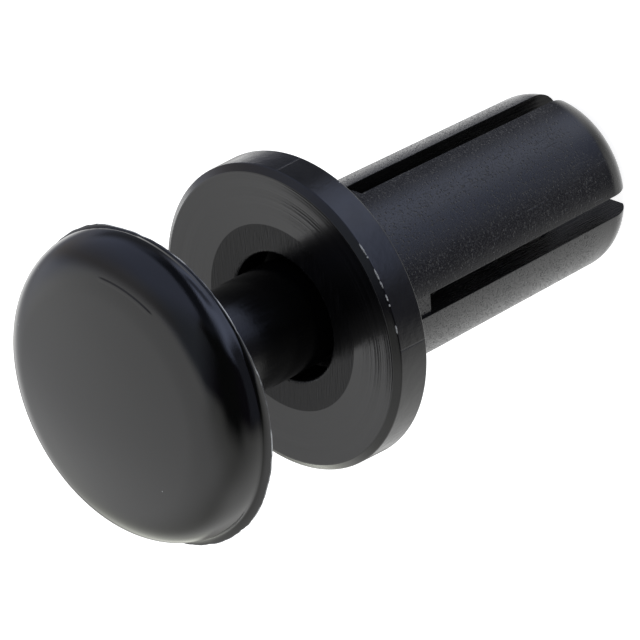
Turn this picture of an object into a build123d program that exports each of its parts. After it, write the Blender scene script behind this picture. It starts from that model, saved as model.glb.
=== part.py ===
"""Two-piece push rivet, moulded in black polyamide.

A flanged grommet with a four-legged sleeve goes through a round panel hole, and a
domed pin pushed down its bore locks it there.  The pin is drawn in its raised,
as-supplied position.  Lengths are in millimetres.  The axis of the rivet is Z and
the origin is where that axis crosses the face of the flange that seats on the panel,
so the sleeve is below Z = 0 and the heads are above it.
"""

import os
from math import asin, degrees, radians, sin, tan

from build123d import *

# ---------------------------------------------------------------- driving sizes
# Flange of the grommet
flange_diameter = 6.5
flange_thickness = 0.8
flange_bevel_width = 0.19  # radial width of the bevel round the front face
flange_bevel_depth = 0.10
flange_edge_break = 0.04  # small radius on the corners of the bevel
flange_seat_break = 0.06  # small radius on the edge next to the panel
dish_diameter = 3.95  # shallow dish round the mouth of the bore
dish_depth = 0.12  # at the mouth

# Sleeve of the grommet
sleeve_diameter = 3.9  # over its straight stretch, for a 4 mm panel hole
sleeve_length = 7.6
sleeve_straight = 2.4  # stretch below the flange with no draft, which stands in the panels
sleeve_draft = 0.55  # degrees a side, from there to the tips
sleeve_root_radius = 0.08
tip_round_radius = 0.7
tip_round_sweep = 55.0  # degrees of arc before the flat end
bore_diameter = 2.72
mouth_break = 0.05

# Slots that part the sleeve into legs
slot_count = 4
slot_width = 0.46
slot_start = 1.57  # depth of the closed ends below the flange
groove_depth = 0.08  # shallow run-out from each slot up to the flange

# Wedges inside the leg tips
tip_bore_diameter = 1.9
wedge_angle = 18.9  # degrees between the ramp and the axis
tip_land = 0.9  # length of the narrow bore below the ramps

# Collar inside the closed part of the sleeve, which guides the pin
collar_top = 0.25  # depth below the seat
collar_length = 0.85
collar_lead = 0.15  # axial length of each cone into the collar
guide_clearance = 0.05  # radial, pin to collar

# Shank of the pin
shank_diameter = 2.25
shank_length = 7.6  # from the underside of the head to the end of the nose
shank_fillet = 0.12  # under the head
nose_length = 0.9
nose_end_radius = 0.25
bead_height = 0.10  # radial height of the bead that keeps the pin captive
bead_length = 0.22
bead_clearance = 0.06  # axial, bead to collar in the raised position

# Head of the pin
head_diameter = 6.45
head_rim_lip = 0.10  # radial width of the thin lip at the back of the head
head_rim_thickness = 0.07
head_shoulder_radius = 1.15
head_crown_radius = 13.0

# Raised position
head_gap = 3.5  # underside of the head to the front of the flange, the whole stroke

# ---------------------------------------------------------------- derived sizes
flange_radius = flange_diameter / 2
sleeve_radius = sleeve_diameter / 2
bore_radius = bore_diameter / 2
tip_bore_radius = tip_bore_diameter / 2
shank_radius = shank_diameter / 2
head_radius = head_diameter / 2

# The outside of a leg tapers from the straight stretch to the start of its rounded tip
draft_slope = tan(radians(sleeve_draft))
tip_round_end_sine = sin(radians(sleeve_draft + tip_round_sweep))
tip_round_drop = tip_round_radius * (tip_round_end_sine - sin(radians(sleeve_draft)))
tip_round_top = sleeve_length - tip_round_drop
tip_round_start_radius = sleeve_radius - (tip_round_top - sleeve_straight) * draft_slope

# Inside, from the tips up: narrow land, wedge ramp, bore, collar, mouth
ramp_length = (bore_radius - tip_bore_radius) / tan(radians(wedge_angle))
ramp_bottom = -sleeve_length + tip_land
ramp_top = ramp_bottom + ramp_length
guide_radius = shank_radius + guide_clearance
collar_bottom = -(collar_top + collar_length)

# The pin, raised
head_back = flange_thickness + head_gap
pin_end = head_back - shank_length
nose_start = pin_end + nose_length
nose_end_width = shank_radius - nose_length * tan(radians(wedge_angle))
bead_top = collar_bottom - collar_lead - bead_clearance
crown_edge_angle = degrees(
    asin((head_radius - head_shoulder_radius) / (head_crown_radius - head_shoulder_radius))
)

os.makedirs("parts", exist_ok=True)

# ---------------------------------------------------------------- grommet
with BuildPart() as grommet:
    # Half section, turned round the axis
    with BuildSketch(Plane.XZ) as grommet_section:
        with BuildLine():
            front = Polyline(
                (bore_radius, flange_thickness - dish_depth),
                (dish_diameter / 2, flange_thickness),
                (flange_radius - flange_bevel_width, flange_thickness),
                (flange_radius, flange_thickness - flange_bevel_depth),
                (flange_radius, 0),
                (sleeve_radius, 0),
                (sleeve_radius, -sleeve_straight),
                (tip_round_start_radius, -tip_round_top),
            )
            tip_round = JernArc(
                start=front @ 1,
                tangent=(-draft_slope, -1),
                radius=tip_round_radius,
                arc_size=-tip_round_sweep,
            )
            Polyline(
                tip_round @ 1,
                (tip_bore_radius, -sleeve_length),
                (tip_bore_radius, ramp_bottom),
                (bore_radius, ramp_top),
                (bore_radius, collar_bottom - collar_lead),
                (guide_radius, collar_bottom),
                (guide_radius, -collar_top),
                (bore_radius, -collar_top + collar_lead),
                front @ 0,
            )
        make_face()
    revolve(axis=Axis.Z)

    # Edges of the flange, the mouth of the bore and the root of the sleeve
    rings = grommet.edges().filter_by(GeomType.CIRCLE)
    front_rings = rings.filter_by_position(
        Axis.Z, flange_thickness - flange_bevel_depth, flange_thickness
    ).sort_by(SortBy.RADIUS)
    fillet(front_rings[-2:], radius=flange_edge_break)
    rings = grommet.edges().filter_by(GeomType.CIRCLE)
    seat_rings = rings.filter_by_position(Axis.Z, 0, 0).sort_by(SortBy.RADIUS)
    fillet(seat_rings[-1], radius=flange_seat_break)
    rings = grommet.edges().filter_by(GeomType.CIRCLE)
    seat_rings = rings.filter_by_position(Axis.Z, 0, 0).sort_by(SortBy.RADIUS)
    fillet(seat_rings[0], radius=sleeve_root_radius)
    rings = grommet.edges().filter_by(GeomType.CIRCLE)
    mouth_height = flange_thickness - dish_depth
    mouth_ring = rings.filter_by_position(Axis.Z, mouth_height, mouth_height)
    fillet(mouth_ring, radius=mouth_break)

    # Through slots, open at the leg tips
    with BuildSketch(Plane.XY.offset(-slot_start)):
        with PolarLocations(0, slot_count):
            Rectangle(flange_radius, slot_width, align=(Align.MIN, Align.CENTER))
    extrude(amount=-sleeve_length, mode=Mode.SUBTRACT)

    # Shallow groove from each slot up to the flange
    with BuildSketch(Plane.XY.offset(-slot_start)):
        with PolarLocations(sleeve_radius - groove_depth, slot_count):
            Rectangle(flange_radius, slot_width, align=(Align.MIN, Align.CENTER))
    extrude(amount=slot_start, mode=Mode.SUBTRACT)

grommet.part.label = "grommet"
export_step(grommet.part, "parts/grommet.step")

# ---------------------------------------------------------------- pin
with BuildPart() as pin:
    # Half section, turned round the axis
    with BuildSketch(Plane.XZ) as pin_section:
        with BuildLine():
            shoulder = JernArc(
                start=(head_radius, head_back + head_rim_thickness),
                tangent=(0, 1),
                radius=head_shoulder_radius,
                arc_size=90 - crown_edge_angle,
            )
            crown = JernArc(
                start=shoulder @ 1,
                tangent=shoulder % 1,
                radius=head_crown_radius,
                arc_size=crown_edge_angle,
            )
            Polyline(
                crown @ 1,
                (0, pin_end),
                (nose_end_width, pin_end),
                (shank_radius, nose_start),
                (shank_radius, bead_top - bead_length),
                (shank_radius + bead_height, bead_top - bead_length / 2),
                (shank_radius + bead_height, bead_top - bead_length / 3),
                (shank_radius, bead_top),
                (shank_radius, head_back),
                (head_radius + head_rim_lip, head_back),
                (head_radius + head_rim_lip, head_back + head_rim_thickness),
                shoulder @ 0,
            )
        make_face()
    revolve(axis=Axis.Z)

    # Rounded end of the nose and the root of the shank
    rings = pin.edges().filter_by(GeomType.CIRCLE)
    fillet(rings.sort_by(Axis.Z)[0], radius=nose_end_radius)
    rings = pin.edges().filter_by(GeomType.CIRCLE)
    back_rings = rings.filter_by_position(Axis.Z, head_back, head_back).sort_by(SortBy.RADIUS)
    fillet(back_rings[0], radius=shank_fillet)

pin.part.label = "pin"
export_step(pin.part, "parts/pin.step")
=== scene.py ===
"""Looks for the push rivet: fine mouldings, black nylon finishes, floor, light and camera.

The packed model is the frame.  Each operator of this add-on makes one piece of the
rivet, or the studio round it, in the model's own metres, so nothing is fitted by eye.
"""

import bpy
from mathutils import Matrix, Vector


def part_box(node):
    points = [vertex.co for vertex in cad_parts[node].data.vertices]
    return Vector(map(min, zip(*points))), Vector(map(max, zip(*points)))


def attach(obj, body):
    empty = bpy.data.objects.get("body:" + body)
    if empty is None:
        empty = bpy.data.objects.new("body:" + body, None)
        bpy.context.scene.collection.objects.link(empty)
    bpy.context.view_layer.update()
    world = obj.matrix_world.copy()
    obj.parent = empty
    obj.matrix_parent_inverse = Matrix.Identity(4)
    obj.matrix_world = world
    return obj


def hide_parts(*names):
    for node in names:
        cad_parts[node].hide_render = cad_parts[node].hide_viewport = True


bl_info = {
    "name": "Push Rivet",
    "version": (1, 0, 0),
    "blender": (4, 5, 0),
    "location": "View3D > Sidebar > Push Rivet",
    "description": "Models a two-piece plastic push rivet, its finishes and its studio",
    "category": "Add Mesh",
}

from math import asin, atan2, cos, pi, radians, sin, sqrt, tan

import bmesh
import bpy
from bpy.props import FloatProperty, FloatVectorProperty, IntProperty, PointerProperty
from mathutils import Matrix, Vector, noise

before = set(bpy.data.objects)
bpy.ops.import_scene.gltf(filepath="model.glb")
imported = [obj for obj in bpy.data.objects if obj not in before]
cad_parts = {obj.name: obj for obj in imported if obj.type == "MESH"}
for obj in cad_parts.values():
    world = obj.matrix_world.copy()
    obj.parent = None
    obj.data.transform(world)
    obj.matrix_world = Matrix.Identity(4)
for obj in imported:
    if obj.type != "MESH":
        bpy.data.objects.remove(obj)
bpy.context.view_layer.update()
GROMMET_LOW, GROMMET_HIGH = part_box("grommet")
PIN_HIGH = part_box("pin")[1]
MM = 0.001


# ---------------- sizes and colours
def length(name, description, default):
    """A length that the user may change, in metres."""
    return FloatProperty(
        name=name, description=description, default=default, min=0.0, precision=5, unit="LENGTH"
    )


def angle(name, description, degrees):
    """An angle that the user may change."""
    return FloatProperty(
        name=name, description=description, default=radians(degrees), subtype="ANGLE"
    )


def share(name, description, default):
    """A value between none and all."""
    return FloatProperty(
        name=name, description=description, default=default, min=0.0, max=1.0, subtype="FACTOR"
    )


def amount(name, description, default):
    """A plain value from nothing up."""
    return FloatProperty(name=name, description=description, default=default, min=0.0)


def colour(name, description, default):
    """A linear colour."""
    return FloatVectorProperty(
        name=name, description=description, default=default, min=0.0, max=4.0, subtype="COLOR"
    )


class GrommetSizes(bpy.types.PropertyGroup):
    """Sizes of the flanged, slotted grommet"""

    flange_radius: length("Flange radius", "Half of the flange's diameter", GROMMET_HIGH.x)
    flange_thickness: length("Flange thickness", "From the seat to the front", GROMMET_HIGH.z)
    edge_width: length("Edge width", "Radial width of the front bevel", 0.15 * MM)
    edge_depth: length("Edge depth", "Depth of that bevel along the axis", 0.11 * MM)
    edge_round: length("Edge rounding", "Rounding between the face and the bevel", 0.05 * MM)
    rim_draft: length("Rim draft", "How much smaller the rim is at its front", 0.015 * MM)
    corner_radius: length("Corner radius", "Rounding of the rim's front corner", 0.025 * MM)
    seat_corner_radius: length("Seat corner", "Rounding of the edge next to the panel", 0.025 * MM)
    dish_depth: length("Dish depth", "Depth of the shallow front cone at the mouth", 0.12 * MM)
    ring_radius: length("Ring radius", "Half of the dull ring's diameter", 1.975 * MM)
    mouth_radius: length("Mouth radius", "Rounding of the bore's mouth", 0.06 * MM)
    sleeve_radius: length("Sleeve radius", "Half of the sleeve's diameter", 1.95 * MM)
    sleeve_length: length("Sleeve length", "From the seat to the tips", -GROMMET_LOW.z)
    sleeve_straight: length("Straight length", "Stretch with no draft", 2.4 * MM)
    sleeve_draft: angle("Draft", "Taper a side below the straight stretch", 0.55)
    root_radius: length("Root radius", "Fillet between sleeve and seat", 0.08 * MM)
    tip_radius: length("Tip radius", "Rounding of the leg tips", 0.70 * MM)
    tip_sweep: angle("Tip sweep", "Arc of that rounding", 55.0)
    tip_corner: length("Tip corner", "Softness of the flat tips' edges", 0.05 * MM)
    bore_radius: length("Bore radius", "Half of the bore's diameter", 1.36 * MM)
    tip_bore_radius: length("Tip bore radius", "Half of the narrow bore's diameter", 0.95 * MM)
    tip_land: length("Tip land", "Length of the narrow bore", 0.90 * MM)
    wedge_angle: angle("Wedge angle", "Between the ramps and the axis", 18.9)
    collar_top: length("Collar top", "Depth of the guide collar below the seat", 0.25 * MM)
    collar_length: length("Collar length", "Length of the guide collar", 0.85 * MM)
    collar_lead: length("Collar lead", "Length of the cones into the collar", 0.15 * MM)
    collar_radius: length("Collar radius", "Half of the collar's bore", 1.175 * MM)
    slot_width: length("Slot width", "Width of the slots between the legs", 0.46 * MM)
    slot_start: length("Slot start", "Depth of the closed ends of the slots", 1.57 * MM)
    groove_depth: length("Groove depth", "Shallow groove from a slot to the flange", 0.08 * MM)
    groove_stop: length("Groove stop", "Where the groove ends below the seat", 0.01 * MM)
    slot_edge_radius: length("Slot edge radius", "Rounding of the slots' edges", 0.03 * MM)


class FlashSizes(bpy.types.PropertyGroup):
    """Sizes of the torn flash on the flange's front corner"""

    count: IntProperty(name="Count", description="How many torn bits stay", default=8, min=0)
    seed: IntProperty(name="Seed", description="Another number scatters them anew", default=4)
    start: angle("Start", "Azimuth of the first bit", -43.0)
    spread: angle("Spread", "From one bit to the next", -4.9)
    reach: angle("Reach", "Half of the longest bit's arc", 2.9)
    height: length("Height", "How far a bit stands out", 0.012 * MM)
    inset: length("Inset", "From the flange's outside to a bit's middle", 0.022 * MM)


class PinSizes(bpy.types.PropertyGroup):
    """Sizes of the domed pin"""

    lip_radius: length("Lip radius", "Half of the diameter over the head's lip", PIN_HIGH.x)
    lip_width: length("Lip width", "Radial width of the lip", 0.10 * MM)
    lip_thickness: length("Lip thickness", "Thickness of the lip along the axis", 0.07 * MM)
    lip_edge: length("Lip edge", "Thickness of the lip's feather edge", 0.02 * MM)
    lip_raise: length("Lip raise", "How far the lip stands above the underside", 0.015 * MM)
    lip_fillet: length("Lip fillet", "Hollow between the lip and the shoulder", 0.13 * MM)
    lip_loss: length("Lip loss", "How much narrower the lip is on its thin side", 0.06 * MM)
    lip_flash: length("Lip flash", "Unevenness of the lip's thin edge", 0.022 * MM)
    dome_shift: length("Dome shift", "How far the dome is moulded off the lip's centre", 0.06 * MM)
    head_back: length("Head back", "Height of the head's underside above the seat", 4.30 * MM)
    shoulder_radius: length("Shoulder radius", "Rounding of the head's shoulder", 1.15 * MM)
    crown_radius: length("Crown radius", "Radius of the domed crown", 13.0 * MM)
    shank_radius: length("Shank radius", "Half of the shank's diameter", 1.125 * MM)
    shank_length: length("Shank length", "From the head's underside to the nose", 7.60 * MM)
    shank_fillet: length("Shank fillet", "Fillet under the head", 0.12 * MM)
    nose_length: length("Nose length", "Length of the tapered nose", 0.90 * MM)
    nose_angle: angle("Nose angle", "Between the nose and the axis", 18.9)
    nose_radius: length("Nose radius", "Rounding of the nose's end", 0.25 * MM)
    bead_top: length("Bead top", "Depth of the captive bead's top below the seat", 1.31 * MM)
    bead_length: length("Bead length", "Length of the bead along the shank", 0.22 * MM)
    bead_height: length("Bead height", "Radial height of the bead", 0.10 * MM)


class NylonFinish(bpy.types.PropertyGroup):
    """Colours and surface values of the black nylon"""

    flange_black: colour("Flange black", "Colour of the flange", (0.0024, 0.0024, 0.0028))
    sleeve_black: colour("Sleeve black", "Colour of the sleeve", (0.0030, 0.0031, 0.0042))
    # Painted light: the slot walls are a lighter black than the flange, for the light that reaches
    # into the slots
    slot_lit_black: colour("Slot black", "Colour of the slot walls", (0.0050, 0.0050, 0.0052))
    # Painted shade: the bore is a darker black than the flange, for the shade inside it
    bore_shaded_black: colour("Bore black", "Colour of the bore", (0.0012, 0.0012, 0.0014))
    pin_black: colour("Pin black", "Colour of the pin", (0.0020, 0.0020, 0.0022))
    # Pale grey of the lip's feather edge, the torn flash and the bore's mouth; it also paints the
    # bright lines of their highlights
    worn_and_highlight: colour("Worn black", "Colour of burrs and feather edges", (0.055, 0.056, 0.058))
    # Painted sheen: a lighter black tinted into the turned marks, the ring's score lines and the
    # grain's tops in place of their glints
    painted_sheen: colour("Scored black", "Colour of scored and turned marks", (0.007, 0.007, 0.008))
    dust: colour("Dust", "Colour of the dust specks", (0.32, 0.33, 0.34))
    gloss: share("Crown roughness", "Roughness of the polished crown", 0.07)
    turned: share("Flange roughness", "Roughness of the turned flange face", 0.10)
    ring: share("Ring roughness", "Roughness of the dull ring round the bore", 0.16)
    rim: share("Rim roughness", "Roughness of the flange's rim", 0.17)
    grain: share("Sleeve roughness", "Roughness of the grained sleeve", 0.20)


class Studio(bpy.types.PropertyGroup):
    """Floor, light and camera"""

    floor_size: length("Floor size", "Side of the square floor", 1.2)
    floor_tone: colour("Floor tone", "Colour of the pale floor", (0.62, 0.62, 0.62))
    floor_glow: amount("Floor glow", "Light that the floor gives off", 0.90)
    backdrop: colour("Backdrop", "Plain tone behind the rivet", (1.15, 1.15, 1.15))
    tent_tone: colour("Tent tone", "Light of the white tent", (1.25, 1.254, 1.253))
    lens: amount("Lens", "Focal length in millimetres", 282.0)
    camera_distance: length("Camera distance", "From the aim to the camera", 98.487 * MM)
    camera_azimuth: angle("Camera azimuth", "Direction of the camera about the axis", -55.185)
    camera_height: angle("Camera elevation", "Height of the camera over the floor", 38.154)
    camera_roll: angle("Camera roll", "Turn of the camera about its line of sight", 117.257)
    aim: FloatVectorProperty(
        name="Aim",
        description="Point that the camera looks at",
        default=(-0.06313 * MM, -0.57420 * MM, 0.23313 * MM),
        subtype="TRANSLATION",
    )


# ---------------- meshes
ROUND_STEPS = 240
ROUNDING_STEPS = 5
GUARD = 0.012 * MM  # keeps a rounding's shading off the run beside it
POLE_REACH = 0.0005 * MM
MERGE_REACH = 0.001 * MM
SHARP_TURN = radians(33)
FLAT_WEIGHT = 60
DRAWN_WAY = radians(34.8)  # azimuth that the ring is scored and the dome shifted along


def smooth_step(value, low, high):
    """0 below a range, 1 above it and a smooth rise between."""
    part = min(1.0, max(0.0, (value - low) / (high - low)))
    return part * part * (3 - 2 * part)


class SectionPen:
    """Draws a half section in the XZ plane, ready to be spun about the Z axis."""

    def __init__(self):
        self.bm = bmesh.new()
        self.stops = []

    def corner(self, radius, height, rounding=0.0):
        """A corner of the section, rounded to the given radius."""
        self.stops.append((Vector((radius, 0.0, height)), rounding, None))

    def arc(self, centre_radius, centre_height, sweep, steps, rounding=0.0):
        """An arc from the last stop about a centre; a positive sweep turns clockwise."""
        centre = Vector((centre_radius, 0.0, centre_height))
        self.stops.append((centre, rounding, (sweep, steps)))

    def _straight(self, start, start_room, end, end_room):
        """Carries the chain along a straight run, with a guard beside each end."""
        run = end.co - start.co
        along = run.normalized()
        last = start
        for at in (start_room + GUARD, run.length - end_room - GUARD):
            if GUARD < at < run.length - GUARD * 0.5 and (last is start or at > near + GUARD):
                guard = self.bm.verts.new(start.co + along * at)
                self.bm.edges.new((last, guard))
                last = guard
                near = at
        self.bm.edges.new((last, end))

    def draw(self, closed):
        """Makes the chain of edges and rounds its corners."""
        radii = {}
        chain = []
        last = None
        for place, rounding, bend in self.stops:
            if bend is None:
                last = self.bm.verts.new(place)
                chain.append((last, last))
            else:
                sweep, steps = bend
                spun = bmesh.ops.spin(
                    self.bm,
                    geom=[last],
                    cent=place,
                    axis=(0.0, 1.0, 0.0),
                    angle=sweep,
                    steps=steps,
                )
                last = [v for v in spun["geom_last"] if isinstance(v, bmesh.types.BMVert)][0]
                chain[-1] = (chain[-1][0], last)
            radii[last] = rounding
        links = list(zip(chain, chain[1:]))
        if closed:
            links.append((chain[-1], chain[0]))
        beside = {v: [e.other_vert(v).co.copy() for e in v.link_edges] for v in radii}
        for (_, leave), (enter, _) in links:
            beside[enter].append(leave.co.copy())
            beside[leave].append(enter.co.copy())
        rooms = {}
        for vert, radius in radii.items():
            if radius and len(beside[vert]) == 2:
                before, after = beside[vert]
                turn = (vert.co - before).angle(after - vert.co)
                rooms[vert] = radius * tan(turn / 2)
        for (_, leave), (enter, _) in links:
            self._straight(leave, rooms.get(leave, 0.0), enter, rooms.get(enter, 0.0))
        for vert, room in rooms.items():
            bmesh.ops.bevel(
                self.bm,
                geom=[vert],
                offset=room,
                segments=ROUNDING_STEPS,
                profile=0.5,
                affect="VERTICES",
                material=-1,
            )
        return self.bm


def turn_round_axis(bm):
    """Spins a half section all the way round the Z axis and closes its poles."""
    bmesh.ops.spin(
        bm,
        geom=bm.verts[:] + bm.edges[:],
        axis=(0.0, 0.0, 1.0),
        angle=2 * pi,
        steps=ROUND_STEPS,
        use_merge=True,
    )
    poles = [v for v in bm.verts if v.co.xy.length < POLE_REACH]
    bmesh.ops.remove_doubles(bm, verts=poles, dist=MERGE_REACH)
    bmesh.ops.recalc_face_normals(bm, faces=bm.faces[:])


def new_piece(name, bm):
    """An object at the origin that holds the finished mesh."""
    mesh = bpy.data.meshes.new(name)
    bm.to_mesh(mesh)
    bm.free()
    piece = bpy.data.objects.new(name, mesh)
    bpy.context.scene.collection.objects.link(piece)
    return piece


def open_mesh(piece):
    """The piece's mesh, open for more work."""
    bm = bmesh.new()
    bm.from_mesh(piece.data)
    return bm


def dress(piece, bm, materials, region):
    """Gives each face the finish of its region and hands the shaded mesh to the piece.

    Edges that turn sharply stay sharp.  The large faces lead the shading, so that the
    roundings don't dent the flats.
    """
    bm.normal_update()
    piece.data.materials.clear()
    names = list(materials)
    for name in names:
        piece.data.materials.append(materials[name])
    for face in bm.faces:
        face.material_index = names.index(region(face.calc_center_median(), face.normal))
        face.smooth = True
    for edge in bm.edges:
        edge.smooth = len(edge.link_faces) == 2 and edge.calc_face_angle() < SHARP_TURN
    bm.to_mesh(piece.data)
    bm.free()
    weighted = piece.modifiers.new("Flat faces lead", "WEIGHTED_NORMAL")
    weighted.mode = "FACE_AREA"
    weighted.weight = FLAT_WEIGHT
    weighted.keep_sharp = True


# ---------------- grommet
TIP_STEPS = 16
SLOT_EDGE_STEPS = 3
SLOT_TURN = radians(57)
CUTTER_REACH = 1.4  # times the flange's radius
CUTTER_DEPTH = 1.2  # times the sleeve's length
# How near a face lies to the surface that it belongs to, and how squarely it faces
WALL_REACH = 0.002 * MM
SLOT_REACH = 0.003 * MM
REGION_REACH = 0.0098 * MM  # short of the groove's stop, so no face lies on it
WALL_FACING = 0.99
FRONT_FACING = 0.3
LEVEL_FACING = 0.9
ROUND_FACING = 0.8
# The bits of flash, as parts of the spread, the reach and the height
FLASH_LEVEL = 3
FLASH_SCATTER = 0.9
FLASH_LEAST = 0.15
FLASH_TALL = 1.5
FLASH_TEAR = 0.25
FLASH_GRAIN = 60 / MM


def grommet_section(size):
    """Half section of the grommet, from the mouth of the bore round the outside."""
    slope = tan(size.sleeve_draft)
    drop = size.tip_radius * (sin(size.sleeve_draft + size.tip_sweep) - sin(size.sleeve_draft))
    round_top = size.sleeve_length - drop
    round_radius = size.sleeve_radius - (round_top - size.sleeve_straight) * slope
    ramp_bottom = -size.sleeve_length + size.tip_land
    ramp_length = (size.bore_radius - size.tip_bore_radius) / tan(size.wedge_angle)
    collar_bottom = -(size.collar_top + size.collar_length)
    front = size.flange_thickness
    rim_radius = size.flange_radius - size.rim_draft
    face_radius = rim_radius - size.edge_width
    ring_height = front - size.dish_depth * (face_radius - size.ring_radius) / (
        face_radius - size.bore_radius
    )

    pen = SectionPen()
    pen.corner(size.bore_radius, front - size.dish_depth, size.mouth_radius)
    pen.corner(size.ring_radius, ring_height)
    pen.corner(face_radius, front, size.edge_round)
    pen.corner(rim_radius, front - size.edge_depth, size.corner_radius)
    pen.corner(size.flange_radius, 0.0, size.seat_corner_radius)
    pen.corner(size.sleeve_radius, 0.0, size.root_radius)
    pen.corner(size.sleeve_radius, -size.sleeve_straight)
    pen.corner(round_radius, -round_top)
    pen.arc(
        round_radius - size.tip_radius * cos(size.sleeve_draft),
        -round_top + size.tip_radius * sin(size.sleeve_draft),
        size.tip_sweep,
        TIP_STEPS,
    )
    pen.corner(size.tip_bore_radius, -size.sleeve_length, size.tip_corner)
    pen.corner(size.tip_bore_radius, ramp_bottom)
    pen.corner(size.bore_radius, ramp_bottom + ramp_length)
    pen.corner(size.bore_radius, collar_bottom - size.collar_lead)
    pen.corner(size.collar_radius, collar_bottom)
    pen.corner(size.collar_radius, -size.collar_top)
    pen.corner(size.bore_radius, -size.collar_top + size.collar_lead)
    return pen.draw(closed=True)


def slot_cutter(size, turn):
    """One cutter for two opposite slots and the shallow grooves above them."""
    reach = size.flange_radius * CUTTER_REACH
    depth = size.sleeve_length * CUTTER_DEPTH
    inner = size.sleeve_radius - size.groove_depth
    outline = (
        (-reach, -depth),
        (reach, -depth),
        (reach, -size.groove_stop),
        (inner, -size.groove_stop),
        (inner, -size.slot_start),
        (-inner, -size.slot_start),
        (-inner, -size.groove_stop),
        (-reach, -size.groove_stop),
    )
    bm = bmesh.new()
    verts = [bm.verts.new((x, -size.slot_width / 2, z)) for x, z in outline]
    face = bm.faces.new(verts)
    pushed = bmesh.ops.extrude_face_region(bm, geom=[face])
    moved = [v for v in pushed["geom"] if isinstance(v, bmesh.types.BMVert)]
    bmesh.ops.translate(bm, verts=moved, vec=(0.0, size.slot_width, 0.0))
    bmesh.ops.rotate(bm, verts=bm.verts[:], matrix=Matrix.Rotation(turn, 3, "Z"))
    bmesh.ops.recalc_face_normals(bm, faces=bm.faces[:])
    return new_piece("slot_cutter", bm)


def cut_slots(piece, size):
    """Cuts the four slots through the sleeve and clears the cutters away."""
    cutters = [slot_cutter(size, turn) for turn in (0.0, pi / 2)]
    for cutter in cutters:
        cut = piece.modifiers.new(cutter.name, "BOOLEAN")
        cut.operation = "DIFFERENCE"
        cut.solver = "EXACT"
        cut.object = cutter
    solid = piece.evaluated_get(bpy.context.evaluated_depsgraph_get())
    cut_mesh = bpy.data.meshes.new_from_object(solid)
    whole_mesh = piece.data
    piece.modifiers.clear()
    piece.data = cut_mesh
    bpy.data.meshes.remove(whole_mesh)
    for cutter in cutters:
        cutter_mesh = cutter.data
        bpy.data.objects.remove(cutter)
        bpy.data.meshes.remove(cutter_mesh)


def is_slot_wall(centre, normal, size):
    """Whether a face is one of the walls that the cutters left."""
    wall = size.slot_width / 2
    on_x = abs(abs(centre.x) - wall) < WALL_REACH and abs(normal.x) > WALL_FACING
    on_y = abs(abs(centre.y) - wall) < WALL_REACH and abs(normal.y) > WALL_FACING
    return centre.z < 0.0 and (on_x or on_y)


def soften_slot_edges(bm, size):
    """Rounds the edges where the slot walls meet the round surfaces."""
    walls = {f for f in bm.faces if is_slot_wall(f.calc_center_median(), f.normal, size)}
    edges = []
    for edge in bm.edges:
        sides = sum(face in walls for face in edge.link_faces)
        if sides == 1 and len(edge.link_faces) == 2 and edge.calc_face_angle_signed() > SLOT_TURN:
            edges.append(edge)
    bmesh.ops.bevel(
        bm,
        geom=edges,
        offset=size.slot_edge_radius,
        segments=SLOT_EDGE_STEPS,
        profile=0.5,
        affect="EDGES",
        clamp_overlap=True,
        material=-1,
    )


def grommet_region(size):
    """Names the finish of a face of the grommet by where it is and how it faces."""
    step = REGION_REACH
    slot_half = size.slot_width / 2 + SLOT_REACH
    face_radius = size.flange_radius - size.rim_draft - size.edge_width
    face_bottom = size.flange_thickness - size.dish_depth - size.mouth_radius

    def region(centre, normal):
        radius = centre.xy.length
        if centre.z > face_bottom and normal.z > FRONT_FACING:
            if radius > face_radius + step:
                return "edge"
            return "face" if radius > size.ring_radius else "ring"
        if centre.z > -step and radius > size.sleeve_radius + step:
            return "rim"
        in_slot = min(abs(centre.x), abs(centre.y)) < slot_half and radius < size.sleeve_radius
        if in_slot and centre.z < -step and abs(normal.z) < LEVEL_FACING:
            facing = Vector((centre.x, centre.y, 0.0)).normalized().dot(normal)
            if abs(facing) < ROUND_FACING:
                return "slot"
        if radius < size.bore_radius + step and centre.z > -size.sleeve_length + step:
            return "bore"
        return "sleeve"

    return region


def flash_bits(flange, size):
    """Small torn bits of flash that lie along the flange's front corner."""
    bm = bmesh.new()
    radius = flange.flange_radius - size.inset
    height = flange.flange_thickness - flange.edge_depth
    noise.seed_set(size.seed)
    for number in range(size.count):
        turn = size.start + size.spread * (number + FLASH_SCATTER * noise.random())
        part = FLASH_LEAST + (1 - FLASH_LEAST) * noise.random() ** 2
        half = radius * size.reach * part
        place = Matrix.Rotation(turn, 4, "Z") @ Matrix.Translation((radius, 0.0, height))
        stretch = Matrix.Diagonal((size.height, half, FLASH_TALL * size.height, 1.0))
        bmesh.ops.create_icosphere(bm, subdivisions=FLASH_LEVEL, radius=1.0, matrix=place @ stretch)
    for vert in bm.verts:
        vert.co += noise.noise_vector(vert.co * FLASH_GRAIN) * FLASH_TEAR * size.height
    for face in bm.faces:
        face.smooth = True
    return bm


# ---------------- pin
HOLLOW_STEPS = 14
SHOULDER_STEPS = 28
CROWN_STEPS = 20
# The lip's uneven edge: noise round the head, and how far the thin side reaches
LONG_WAVES = 9.0
SHORT_WAVES = 31.0
SHORT_SHARE = 0.6
WAVE_LIFT = 0.1
THIN_WAY = radians(-25)
THIN_START = 0.70
THIN_FULL = 0.88
LIP_ROOM = 1.1


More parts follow.
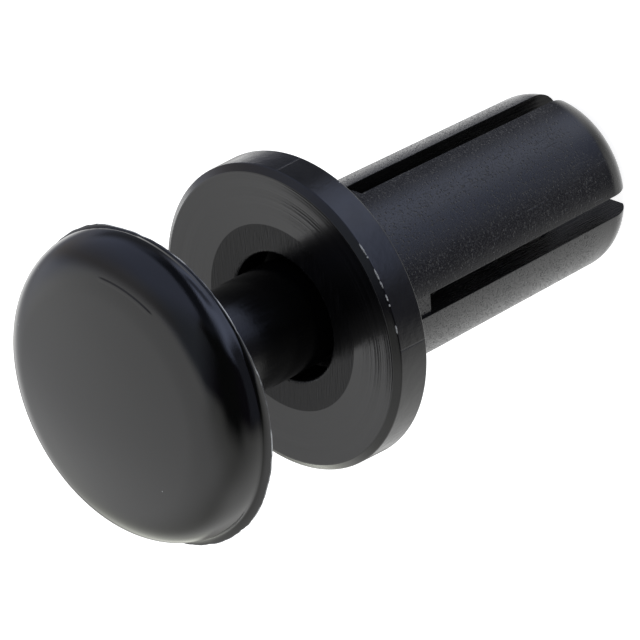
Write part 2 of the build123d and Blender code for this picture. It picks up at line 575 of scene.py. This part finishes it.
def pin_section(size):
    """Half section of the pin, from the end of the nose up to the top of the crown."""
    head_radius = size.lip_radius - size.lip_width
    lip_top = size.head_back + size.lip_thickness
    edge_angle = asin(
        (head_radius - size.shoulder_radius) / (size.crown_radius - size.shoulder_radius)
    )
    shoulder_end = lip_top + size.shoulder_radius * cos(edge_angle)
    crown_centre = shoulder_end - size.crown_radius * cos(edge_angle)
    end = size.head_back - size.shank_length
    nose_width = size.shank_radius - size.nose_length * tan(size.nose_angle)
    bead_radius = size.shank_radius + size.bead_height
    bead_top = -size.bead_top

    # The hollow touches the shoulder's arc and runs out to the lip's feather edge
    shoulder_centre = Vector((head_radius - size.shoulder_radius, lip_top))
    lip_bottom = size.head_back + size.lip_raise
    feather = Vector((size.lip_radius, lip_bottom + size.lip_edge))
    reach = feather - shoulder_centre
    apart = size.shoulder_radius + size.lip_fillet
    across = (apart**2 - size.lip_fillet**2 + reach.length_squared) / (2 * reach.length)
    along = reach.normalized()
    beside = Vector((-along.y, along.x)) * sqrt(apart**2 - across**2)
    hollow = shoulder_centre + along * across + beside
    lean = atan2(hollow.y - shoulder_centre.y, hollow.x - shoulder_centre.x)
    run_out = atan2(hollow.y - feather.y, hollow.x - feather.x)

    pen = SectionPen()
    pen.corner(0.0, end)
    pen.corner(nose_width, end, size.nose_radius)
    pen.corner(size.shank_radius, end + size.nose_length)
    pen.corner(size.shank_radius, bead_top - size.bead_length)
    pen.corner(bead_radius, bead_top - size.bead_length / 2)
    pen.corner(bead_radius, bead_top - size.bead_length / 3)
    pen.corner(size.shank_radius, bead_top)
    pen.corner(size.shank_radius, size.head_back, size.shank_fillet)
    pen.corner(size.lip_radius, lip_bottom)
    pen.corner(feather.x, feather.y)
    pen.arc(hollow.x, hollow.y, run_out - lean, HOLLOW_STEPS)
    pen.arc(shoulder_centre.x, shoulder_centre.y, edge_angle - pi / 2 + lean, SHOULDER_STEPS)
    pen.arc(0.0, crown_centre, -edge_angle, CROWN_STEPS)
    return pen.draw(closed=False)


def roughen_lip(bm, size):
    """Leaves the lip's thin edge uneven, and narrower on one side, as the mould parts."""
    reach = size.lip_width
    thin_side = Vector((cos(THIN_WAY), sin(THIN_WAY), 0.0))
    for vert in bm.verts:
        flat = Vector((vert.co.x, vert.co.y, 0.0))
        near_edge = (flat.length - size.lip_radius + reach) / reach
        if near_edge > 0.0 and vert.co.z < size.head_back + 2 * size.lip_thickness:
            way = flat.normalized()
            short = SHORT_SHARE * noise.noise(way * SHORT_WAVES)
            waves = max(0.0, noise.noise(way * LONG_WAVES) + short + WAVE_LIFT)
            vert.co -= way * size.lip_flash * near_edge**2 * waves
            thin = smooth_step(way.dot(thin_side), THIN_START, THIN_FULL)
            vert.co -= way * size.lip_loss * thin * near_edge


def shift_dome(bm, size):
    """Moves the dome a little off the lip's centre, as the two mould halves left it."""
    way = Vector((cos(DRAWN_WAY), sin(DRAWN_WAY), 0.0)) * size.dome_shift
    start = size.head_back + size.lip_raise + size.lip_edge
    for vert in bm.verts:
        vert.co += way * smooth_step(vert.co.z, start, start + 2 * size.lip_thickness)


def pin_region(size):
    """Names the finish of a face of the pin."""
    lip_bottom = size.head_back + size.lip_raise

    def region(centre, _normal):
        if centre.z > lip_bottom + LIP_ROOM * size.lip_edge:
            return "crown"
        if centre.z > lip_bottom + MERGE_REACH and centre.xy.length > 2 * size.shank_radius:
            return "lip"
        if centre.z > size.head_back - size.shank_fillet and centre.xy.length > size.shank_radius:
            return "head_back"
        return "shank"

    return region


# ---------------- nodes
NOISE_LOW = 0.3
NOISE_HIGH = 0.7
NYLON_IOR = 1.53


class NodeKit:
    """Short calls for the nodes of one tree."""

    def __init__(self, tree):
        self.nodes = tree.nodes
        self.links = tree.links
        self.nodes.clear()
        self.place = self.add("TexCoord", {}).outputs["Object"]

    def put(self, node, inputs):
        """Links each input to another node's output, or sets it to a plain value."""
        for socket, value in inputs.items():
            if isinstance(value, bpy.types.NodeSocket):
                self.links.new(value, node.inputs[socket])
            else:
                node.inputs[socket].default_value = value

    def add(self, kind, inputs, **settings):
        """A new node, with its settings made before its inputs."""
        node = self.nodes.new("ShaderNode" + kind)
        for setting, value in settings.items():
            setattr(node, setting, value)
        self.put(node, inputs)
        return node

    def math(self, operation, first, second=0.0):
        """One step of arithmetic."""
        node = self.add("Math", {0: first, 1: second}, operation=operation)
        return node.outputs["Value"]

    def vector_math(self, operation, first, second=(0.0, 0.0, 0.0)):
        """One step of arithmetic on vectors."""
        return self.add("VectorMath", {0: first, 1: second}, operation=operation).outputs

    def blend(self, value, low, high, to_low=0.0, to_high=1.0):
        """A smooth step of a value from one range to another."""
        inputs = {"Value": value, "From Min": low, "From Max": high}
        inputs |= {"To Min": to_low, "To Max": to_high}
        node = self.add("MapRange", inputs, interpolation_type="SMOOTHSTEP")
        return node.outputs["Result"]

    def mix_colour(self, amount, low, high):
        """A colour between one that may be linked and a plain one."""
        node = self.add("Mix", {0: amount, 6: low, 7: (*high, 1.0)}, data_type="RGBA")
        return node.outputs[2]


class FinishTree(NodeKit):
    """A black nylon material whose tints, relief and roughness build up call by call."""

    def __init__(self, name, base, roughness, sheen=0.5):
        self.material = bpy.data.materials.new(name)
        self.material.use_nodes = True
        super().__init__(self.material.node_tree)
        self.shade = (*base, 1.0)
        self.rough = roughness
        self.relief = None
        inputs = {"Base Color": self.shade, "Roughness": roughness}
        inputs |= {"IOR": NYLON_IOR, "Specular IOR Level": sheen}
        self.shader = self.add("BsdfPrincipled", inputs)
        self.add("OutputMaterial", {"Surface": self.shader.outputs["BSDF"]})

    def stretched(self, scale, turn=0.0):
        """Object coordinates turned about the axis, then scaled along each direction."""
        inputs = {"Rotation": (0.0, 0.0, turn), "Scale": scale, "Vector": self.place}
        return self.add("Mapping", inputs).outputs["Vector"]

    def noise(self, size, detail=2.0, vector=None, roughness=0.5):
        """Noise whose grains are about the given size in metres."""
        inputs = {"Vector": vector or self.place, "Scale": 1.0 / size}
        inputs |= {"Detail": detail, "Roughness": roughness}
        return self.add("TexNoise", inputs).outputs["Fac"]

    def lines(self, value, size, detail=2.0):
        """Noise along one value only, which draws fine irregular lines."""
        inputs = {"W": value, "Scale": 1.0 / size, "Detail": detail}
        return self.add("TexNoise", inputs, noise_dimensions="1D").outputs["Fac"]

    def radius(self):
        """Distance from the rivet's axis."""
        flat = self.vector_math("MULTIPLY", self.place, (1.0, 1.0, 0.0))
        return self.vector_math("LENGTH", flat["Vector"])["Value"]

    def axes(self):
        """The three object coordinates."""
        return self.add("SeparateXYZ", {"Vector": self.place}).outputs

    def azimuth(self):
        """Angle about the rivet's axis."""
        x, y, _ = self.axes()
        return self.math("ARCTAN2", y, x)

    def distance(self, value, middle):
        """How far a value is from another, either way."""
        return self.math("ABSOLUTE", self.math("SUBTRACT", value, middle))

    def specks(self, spacing, size, chance=0.35):
        """Sparse round specks: one where a cell is chosen, none elsewhere."""
        cell = self.add("TexVoronoi", {"Vector": self.place, "Scale": 1.0 / spacing}).outputs
        near = self.blend(cell["Distance"], size / spacing, 0.6 * size / spacing)
        lot = self.add("SeparateColor", {"Color": cell["Color"]}).outputs["Red"]
        return self.math("MULTIPLY", near, self.math("GREATER_THAN", lot, 1.0 - chance))

    def mix_value(self, amount, low, high):
        """A value between two values."""
        return self.add("Mix", {0: amount, 2: low, 3: high}).outputs[0]

    def bump(self, height, depth, strength=1.0):
        """Lays relief of the given depth in metres over the relief so far."""
        inputs = {"Height": height, "Distance": depth, "Strength": strength}
        if self.relief is not None:
            inputs["Normal"] = self.relief
        self.relief = self.add("Bump", inputs).outputs["Normal"]

    def tint(self, amount, colour_value):
        """Lays a colour over the colour so far."""
        self.shade = self.mix_colour(amount, self.shade, colour_value)

    def roughen(self, pattern, low, high):
        """Lets a noise vary the roughness between two values."""
        self.rough = self.blend(pattern, NOISE_LOW, NOISE_HIGH, low, high)

    def finish(self):
        """Links what was built up to the shader and hands the material over."""
        inputs = {"Base Color": self.shade, "Roughness": self.rough, "Normal": self.relief}
        self.put(self.shader, inputs)
        return self.material


# ---------------- finishes
EDGE_LEAN = -0.27
PARTING_LINES = (radians(-85.4), radians(-2.2))
WITNESS_WAY = radians(-15)  # the faint line that the mould left on the crown
WITNESS_RADIUS = 2.70 * MM


def flange_face_nylon(look, size):
    """Smooth turned face whose marks grow towards its edge."""
    tree = FinishTree("Turned flange nylon", look.flange_black, look.turned, 0.435)
    radius = tree.radius()
    smooth_inside = 0.60 * size.flange_radius
    marked_outside = 0.84 * size.flange_radius
    band = tree.blend(radius, smooth_inside, marked_outside, 0.25, 1.0)
    marks = tree.lines(radius, 0.050 * MM)
    deep_marks = tree.lines(radius, 0.19 * MM, 1.0)
    tree.bump(marks, 0.0034 * MM, band)
    tree.bump(deep_marks, 0.0036 * MM, band)
    tree.bump(tree.noise(0.022 * MM), 0.0010 * MM)
    tree.roughen(tree.noise(0.5 * MM), look.turned - 0.02, look.turned + 0.03)
    # Painted sheen: the outer turned marks are tinted a lighter black
    tree.tint(tree.math("MULTIPLY", tree.blend(marks, 0.46, 0.64), band), look.painted_sheen)
    tree.tint(tree.specks(0.5 * MM, 0.014 * MM), look.dust)
    return tree.finish()


def flange_ring_nylon(look, size):
    """Dull ring round the bore with score lines one way across, their sheen painted as a lighter
    tint, and a pale ring painted along the mouth as its highlight.
    """
    tree = FinishTree("Scored ring nylon", look.flange_black, look.ring, 0.16)
    score = tree.noise(0.030 * MM, 2.0, tree.stretched((0.05, 1.0, 1.0), -DRAWN_WAY), 0.6)
    tree.bump(score, 0.0060 * MM)
    tree.bump(tree.noise(0.020 * MM), 0.0016 * MM)
    # Painted highlight: a pale ring along the mouth's edge, its border wobbled by noise
    highlight_wobble = tree.blend(tree.noise(0.06 * MM), NOISE_LOW, NOISE_HIGH, -0.02 * MM, 0.02 * MM)
    mouth = tree.math("ADD", tree.radius(), highlight_wobble)
    worn_and_highlight = tree.blend(mouth, size.bore_radius + 0.035 * MM, size.bore_radius + 0.015 * MM)
    # Painted sheen: the score lines are tinted a lighter black
    tree.tint(tree.blend(score, 0.42, 0.66), look.painted_sheen)
    tree.tint(worn_and_highlight, look.worn_and_highlight)
    tree.roughen(score, look.ring - 0.04, look.ring + 0.06)
    return tree.finish()


def flange_edge_nylon(look):
    """Burnished bevel, shaded a little steeper than it is cut."""
    tree = FinishTree("Burnished edge nylon", look.flange_black, 0.12)
    radius = tree.radius()
    lean = tree.math("MULTIPLY", radius, EDGE_LEAN)
    fine = tree.noise(0.03 * MM, 3.0)
    tree.bump(lean, 1.0)
    tree.bump(tree.lines(radius, 0.03 * MM), 0.0012 * MM)
    tree.bump(fine, 0.0014 * MM)
    tree.roughen(fine, 0.10, 0.18)
    return tree.finish()


def flange_rim_nylon(look):
    """Satin rim with fine scratches along the axis and the mould's two parting lines."""
    tree = FinishTree("Satin rim nylon", look.flange_black, look.rim)
    turn = tree.azimuth()
    tree.bump(tree.noise(0.026 * MM), 0.0016 * MM)
    tree.bump(tree.noise(0.16 * MM), 0.0040 * MM)
    tree.bump(tree.lines(turn, 0.012), 0.0012 * MM, 0.6)
    for parting in PARTING_LINES:
        away = tree.distance(turn, parting)
        tree.bump(tree.blend(away, 0.002, 0.006), 0.006 * MM)
    tree.roughen(tree.noise(0.35 * MM, 3.0), look.rim - 0.05, look.rim + 0.05)
    tree.tint(tree.specks(0.45 * MM, 0.016 * MM), look.dust)
    return tree.finish()


def sleeve_nylon(look, size):
    """Spark-eroded grain that smooths out towards the tips, with a few hair scratches and painted
    glints on the grain's tops.
    """
    tree = FinishTree("Grained sleeve nylon", look.sleeve_black, look.grain)
    _, _, height = tree.axes()
    tip = -size.sleeve_length
    coarse = tree.blend(height, tip + 1.4 * MM, tip + 0.7 * MM, 1.0, 0.3)
    grain = tree.noise(0.034 * MM, roughness=0.6)
    pits = tree.specks(0.070 * MM, 0.026 * MM, 0.5)
    tree.bump(grain, 0.0030 * MM, coarse)
    tree.bump(pits, -0.0050 * MM, coarse)
    tree.bump(tree.noise(0.09 * MM), 0.0014 * MM, coarse)
    across = tree.stretched((1.0, 1.0, 0.05), radians(20.0))
    hairs = tree.blend(tree.noise(0.05 * MM, 1.0, across), 0.70, 0.74)
    somewhere = tree.blend(tree.noise(0.8 * MM, 1.0), 0.50, 0.60)
    tree.bump(tree.math("MULTIPLY", hairs, somewhere), -0.006 * MM)
    tree.roughen(tree.noise(0.6 * MM, 3.0), look.grain - 0.03, look.grain + 0.04)
    dull = tree.math("MAXIMUM", pits, tree.blend(grain, 0.50, 0.40))
    dull = tree.math("MULTIPLY", tree.math("MULTIPLY", dull, coarse), 0.8)
    tree.rough = tree.mix_value(dull, tree.rough, 0.55)
    # Painted glints: the grain's tops are tinted a lighter black, most where the grain is coarse
    glints = tree.math("MULTIPLY", tree.blend(grain, 0.58, 0.72), coarse)
    tree.tint(glints, look.painted_sheen)
    tree.tint(tree.specks(0.42 * MM, 0.016 * MM), look.dust)
    return tree.finish()


def slot_nylon(look):
    """Slot walls drawn lengthwise, painted a lighter black than the flange as the light that
    reaches into the slots.
    """
    tree = FinishTree("Drawn slot nylon", look.slot_lit_black, 0.26, 0.14)
    streaks = tree.noise(0.04 * MM, 3.0, tree.stretched((1.0, 1.0, 0.06)))
    tree.bump(streaks, 0.004 * MM)
    tree.bump(tree.noise(0.035 * MM), 0.001 * MM)
    tree.roughen(streaks, 0.2, 0.34)
    return tree.finish()


def bore_nylon(look):
    """Dull moulded bore, painted a darker black than the flange as the shade inside it."""
    tree = FinishTree("Bore nylon", look.bore_shaded_black, 0.4, 0.2)
    fine = tree.noise(0.05 * MM, 3.0)
    tree.bump(fine, 0.003 * MM)
    tree.roughen(fine, 0.34, 0.48)
    return tree.finish()


def crown_nylon(look):
    """Polished crown with a faint satin, fine scuffs, a witness line and a little dust."""
    tree = FinishTree("Polished crown nylon", look.pin_black, look.gloss)
    tree.bump(tree.noise(0.30 * MM), 0.0008 * MM)
    tree.bump(tree.noise(0.022 * MM), 0.0007 * MM)
    along = tree.distance(tree.azimuth(), WITNESS_WAY)
    along = tree.blend(along, radians(17), radians(12))
    away = tree.distance(tree.radius(), WITNESS_RADIUS)
    away = tree.blend(away, 0.045 * MM, 0.008 * MM)
    tree.bump(tree.math("MULTIPLY", away, along), 0.008 * MM)
    tree.roughen(tree.noise(0.7 * MM, 4.0), look.gloss - 0.015, look.gloss + 0.025)
    tree.tint(tree.specks(0.6 * MM, 0.015 * MM), look.dust)
    return tree.finish()


def lip_nylon(look):
    """Feather edge of the lip, stressed pale in places; its pale grey also paints the bright line
    of a highlight along the edge.
    """
    tree = FinishTree("Feather edge nylon", look.worn_and_highlight, 0.25)
    tree.bump(tree.noise(0.03 * MM, 3.0), 0.0015 * MM)
    tree.tint(tree.blend(tree.noise(0.5 * MM), 0.4, 0.6), look.dust)
    return tree.finish()


def flash_nylon(look):
    """Torn flash, stressed pale; its pale greys also paint the glints on the flange's front corner.
    """
    tree = FinishTree("Torn flash nylon", look.dust, 0.35)
    fine = tree.noise(0.02 * MM, 3.0)
    tree.bump(fine, 0.003 * MM)
    # Pale greys partly for stress-whitened flash, partly painted glints
    tree.shade = (*look.worn_and_highlight, 1.0)
    tree.tint(tree.blend(fine, 0.35, 0.6), look.dust)
    return tree.finish()


def head_back_nylon(look):
    """Satin underside of the head."""
    tree = FinishTree("Head back nylon", look.pin_black, 0.28)
    fine = tree.noise(0.04 * MM, 3.0)
    tree.bump(fine, 0.002 * MM)
    tree.roughen(fine, 0.24, 0.34)
    return tree.finish()


def shank_nylon(look):
    """Satin shank with faint marks along its length."""
    tree = FinishTree("Shank nylon", look.pin_black, 0.18, 0.34)
    marks = tree.noise(0.05 * MM, 3.0, tree.stretched((1.0, 1.0, 0.08)))
    tree.bump(marks, 0.0018 * MM)
    tree.bump(tree.noise(0.04 * MM), 0.0014 * MM)
    tree.roughen(marks, 0.13, 0.22)
    return tree.finish()


# ---------------- studio
class SoftTent(NodeKit):
    """A white tent round the scene, with soft-edged cards laid one over another."""

    def __init__(self, world, tone):
        super().__init__(world.node_tree)
        self.under = (*tone, 1.0)

    def along(self, axis):
        """How far the light's direction points along an axis."""
        return self.vector_math("DOT_PRODUCT", self.place, axis)["Value"]

    def edge(self, room, softness):
        """1 well inside a card and 0 outside it, with a soft step over its edge."""
        half = radians(softness) / 2
        return self.blend(room, -half, half)

    def card(self, facing, half, soft, light, tilt=0.0, taper=0.0):
        """Lays a card: azimuth and elevation, half sizes, edges, light, tilt, taper.

        The angles are in degrees.  The four edges are left, right, bottom and top.
        """
        azimuth, elevation, lean = (radians(turn) for turn in (*facing, tilt))
        middle = Vector((cos(azimuth), sin(azimuth), tan(elevation))).normalized()
        level = Vector((-sin(azimuth), cos(azimuth), 0.0))
        rise = middle.cross(level)
        side = self.along(level * cos(lean) + rise * sin(lean))
        across = self.math("ARCTAN2", side, self.along(middle))
        height = self.math("ARCSINE", self.along(rise * cos(lean) - level * sin(lean)))
        width = self.math("ADD", self.math("MULTIPLY", height, taper), radians(half[0]))
        tall = radians(half[1])
        left = self.edge(self.math("ADD", width, across), soft[0])
        right = self.edge(self.math("SUBTRACT", width, across), soft[1])
        bottom = self.edge(self.math("ADD", height, tall), soft[2])
        top = self.edge(self.math("SUBTRACT", tall, height), soft[3])
        wide = self.math("MULTIPLY", left, right)
        cover = self.math("MULTIPLY", wide, self.math("MULTIPLY", bottom, top))
        self.under = self.mix_colour(cover, self.under, light)


def light_tent(studio):
    """The tent and its cards; the camera itself sees a plain backdrop."""
    world = bpy.data.worlds.new("Light tent")
    world.use_nodes = True
    tent = SoftTent(world, studio.tent_tone)
    # Large panels: grey on one side, white above and dim low down
    tent.card(
        facing=(-127.6, 2.1), half=(98.7, 59.9), soft=(16.3, 28.7, 43.9, 15.6),
        light=(0.621, 0.624, 0.602), tilt=-23.5, taper=-0.33,
    )
    tent.card(
        facing=(26.8, 52.8), half=(94.6, 44.9), soft=(19.2, 44.7, 4.4, 44.5),
        light=(1.232, 1.235, 1.238), tilt=59, taper=0.23,
    )
    tent.card(
        facing=(16.1, -27.6), half=(79.5, 20.4), soft=(13.4, 34.3, 17, 45),
        light=(0.308, 0.315, 0.364), tilt=-12.5, taper=1.45,
    )
    # The dark opening on the camera's side and the cool window beside it
    tent.card(
        facing=(-69.7, 6), half=(38.9, 51.2), soft=(18.7, 31.3, 4, 9.4),
        light=(0.022, 0.015, 0.029), tilt=-6.1, taper=-0.36,
    )
    tent.card(
        facing=(-31.4, -22.2), half=(34.9, 16.6), soft=(13.7, 29.6, 44, 26.7),
        light=(1.267, 1.438, 2.033), tilt=-11.4, taper=-0.36,
    )
    tent.card(
        facing=(22, 11.1), half=(58.2, 30.3), soft=(5.8, 42.4, 6.3, 39.7),
        light=(0.493, 0.550, 0.774), tilt=-23.4, taper=0.29,
    )
    # Flags that dim the edges of both
    tent.card(
        facing=(-75.9, 16), half=(39.5, 15.8), soft=(25.3, 33.5, 18.6, 18.4),
        light=(0.014, 0.016, 0.012), tilt=-14.2, taper=-0.35,
    )
    tent.card(
        facing=(-36.6, 40.3), half=(20.4, 23.3), soft=(40.2, 44.4, 3.3, 18.7),
        light=(0.287, 0.319, 0.379), tilt=-11.4, taper=0.61,
    )
    tent.card(
        facing=(49.2, 27.3), half=(8.9, 58.2), soft=(44.4, 20.8, 16.5, 32),
        light=(0.380, 0.354, 0.345), tilt=41.6, taper=-0.06,
    )
    # Behind the rivet: a dim patch, a white one and a bright strip
    tent.card(
        facing=(141, -26), half=(24, 11.4), soft=(12, 3.4, 2.5, 7),
        light=(0.303, 0.298, 0.283), tilt=13, taper=-0.50,
    )
    tent.card(
        facing=(-141.4, -43.7), half=(25.3, 53.8), soft=(43, 44.6, 5.2, 27.3),
        light=(1.131, 1.133, 1.122), tilt=46.4, taper=0.31,
    )
    tent.card(
        facing=(137.7, -3.7), half=(4.2, 24.3), soft=(14.2, 42.2, 3.6, 2.5),
        light=(1.517, 1.549, 1.404), tilt=26.9, taper=-0.30,
    )
    # Small cards low down that shade single reflections
    tent.card(
        facing=(-16, -25), half=(13, 5), soft=(12, 14, 6, 6),
        light=(0.33, 0.37, 0.52),
    )
    tent.card(
        facing=(-84, -22), half=(25, 9), soft=(10, 14, 6, 6),
        light=(0.14, 0.15, 0.20),
    )
    tent.card(
        facing=(-10, -10.5), half=(35, 7.5), soft=(14, 40, 6, 6),
        light=(0.06, 0.07, 0.10), tilt=-20,
    )
    tent.card(
        facing=(46, -32), half=(20, 13), soft=(16, 14, 12, 12),
        light=(0.17, 0.18, 0.22),
    )
    tent.card(
        facing=(-84, -42), half=(14, 9), soft=(18, 18, 8, 6),
        light=(0.16, 0.16, 0.19),
    )
    seen = tent.add("LightPath", {}).outputs["Is Camera Ray"]
    lit = tent.add("Background", {"Color": tent.under}).outputs[0]
    plain = tent.add("Background", {"Color": (*studio.backdrop, 1.0)}).outputs[0]
    mix = tent.add("MixShader", {0: seen, 1: lit, 2: plain})
    tent.add("OutputWorld", {"Surface": mix.outputs["Shader"]})
    bpy.context.scene.world = world


def pale_floor(studio):
    """The plain pale floor that the leg tips stand on."""
    bm = bmesh.new()
    bmesh.ops.create_grid(bm, x_segments=1, y_segments=1, size=studio.floor_size / 2)
    bmesh.ops.translate(bm, verts=bm.verts[:], vec=(0.0, 0.0, GROMMET_LOW.z))
    floor = new_piece("pale_floor", bm)
    material = bpy.data.materials.new("Pale floor paper")
    material.use_nodes = True
    shader = material.node_tree.nodes["Principled BSDF"]
    shader.inputs["Base Color"].default_value = (*studio.floor_tone, 1.0)
    shader.inputs["Roughness"].default_value = 0.9
    shader.inputs["Specular IOR Level"].default_value = 0.0
    shader.inputs["Emission Color"].default_value = (1.0, 1.0, 1.0, 1.0)
    shader.inputs["Emission Strength"].default_value = studio.floor_glow
    floor.data.materials.append(material)
    floor.visible_glossy = False


def place_camera(studio):
    """The camera at its distance, direction and roll about the aim."""
    turn = studio.camera_azimuth
    level = cos(studio.camera_height)
    back = Vector((cos(turn) * level, sin(turn) * level, sin(studio.camera_height)))
    right = Vector((0.0, 0.0, 1.0)).cross(back).normalized()
    up = back.cross(right)
    roll = studio.camera_roll
    rolled_up = up * cos(roll) + right * sin(roll)
    rolled_right = right * cos(roll) - up * sin(roll)
    view = Matrix((rolled_right, rolled_up, back)).transposed().to_4x4()
    view.translation = Vector(studio.aim) + back * studio.camera_distance
    data = bpy.data.cameras.new("Studio camera")
    data.lens = studio.lens
    data.sensor_width = 36.0
    data.clip_start = 0.001
    data.clip_end = 10.0
    camera = bpy.data.objects.new("Studio camera", data)
    camera.matrix_world = view
    bpy.context.scene.collection.objects.link(camera)
    bpy.context.scene.camera = camera


# ---------------- operators
class PUSHRIVET_OT_grommet(bpy.types.Operator):
    """Make the grommet: bevelled flange, slotted sleeve, collar and wedge tips"""

    bl_idname = "push_rivet.grommet"
    bl_label = "Grommet"

    def execute(self, context):
        size = context.scene.push_rivet_grommet
        look = context.scene.push_rivet_finish
        bm = grommet_section(size)
        turn_round_axis(bm)
        piece = new_piece("grommet_moulding", bm)
        cut_slots(piece, size)
        bm = open_mesh(piece)
        soften_slot_edges(bm, size)
        materials = {
            "face": flange_face_nylon(look, size),
            "ring": flange_ring_nylon(look, size),
            "edge": flange_edge_nylon(look),
            "rim": flange_rim_nylon(look),
            "sleeve": sleeve_nylon(look, size),
            "slot": slot_nylon(look),
            "bore": bore_nylon(look),
        }
        dress(piece, bm, materials, grommet_region(size))
        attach(piece, "grommet")
        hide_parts("grommet")
        return {"FINISHED"}


class PUSHRIVET_OT_flash(bpy.types.Operator):
    """Make the torn bits of flash on the flange's front corner"""

    bl_idname = "push_rivet.flash"
    bl_label = "Flash"

    def execute(self, context):
        size = context.scene.push_rivet_flash
        look = context.scene.push_rivet_finish
        bm = flash_bits(context.scene.push_rivet_grommet, size)
        piece = new_piece("grommet_flash", bm)
        piece.data.materials.append(flash_nylon(look))
        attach(piece, "grommet")
        return {"FINISHED"}


class PUSHRIVET_OT_pin(bpy.types.Operator):
    """Make the pin: domed head with its lip, shank, captive bead and nose"""

    bl_idname = "push_rivet.pin"
    bl_label = "Pin"

    def execute(self, context):
        size = context.scene.push_rivet_pin
        look = context.scene.push_rivet_finish
        bm = pin_section(size)
        turn_round_axis(bm)
        roughen_lip(bm, size)
        shift_dome(bm, size)
        piece = new_piece("pin_moulding", bm)
        materials = {
            "crown": crown_nylon(look),
            "lip": lip_nylon(look),
            "head_back": head_back_nylon(look),
            "shank": shank_nylon(look),
        }
        dress(piece, open_mesh(piece), materials, pin_region(size))
        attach(piece, "pin")
        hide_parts("pin")
        return {"FINISHED"}


class PUSHRIVET_OT_studio(bpy.types.Operator):
    """Set up the floor, the light tent and the camera"""

    bl_idname = "push_rivet.studio"
    bl_label = "Studio"

    def execute(self, context):
        studio = context.scene.push_rivet_studio
        pale_floor(studio)
        light_tent(studio)
        place_camera(studio)
        context.scene.view_settings.view_transform = "Standard"
        return {"FINISHED"}


class PUSHRIVET_PT_panel(bpy.types.Panel):
    """Lists the pieces of the rivet"""

    bl_idname = "PUSHRIVET_PT_panel"
    bl_label = "Push Rivet"
    bl_space_type = "VIEW_3D"
    bl_region_type = "UI"
    bl_category = "Push Rivet"

    def draw(self, context):
        column = self.layout.column(align=True)
        for operator in OPERATORS:
            column.operator(operator.bl_idname)
        for setting, group in GROUPS.items():
            box = self.layout.box()
            box.label(text=group.__doc__)
            for name in group.__annotations__:
                box.prop(getattr(context.scene, setting), name)


OPERATORS = (PUSHRIVET_OT_grommet, PUSHRIVET_OT_flash, PUSHRIVET_OT_pin, PUSHRIVET_OT_studio)
GROUPS = {
    "push_rivet_grommet": GrommetSizes,
    "push_rivet_flash": FlashSizes,
    "push_rivet_pin": PinSizes,
    "push_rivet_finish": NylonFinish,
    "push_rivet_studio": Studio,
}
CLASSES = (*GROUPS.values(), *OPERATORS, PUSHRIVET_PT_panel)


def register():
    for cls in CLASSES:
        bpy.utils.register_class(cls)
    for setting, group in GROUPS.items():
        setattr(bpy.types.Scene, setting, PointerProperty(type=group))


def unregister():
    for setting in GROUPS:
        delattr(bpy.types.Scene, setting)
    for cls in reversed(CLASSES):
        bpy.utils.unregister_class(cls)


def main():
    register()
    bpy.ops.push_rivet.grommet()
    bpy.ops.push_rivet.flash()
    bpy.ops.push_rivet.pin()
    bpy.ops.push_rivet.studio()


if __name__ == "__main__":
    main()
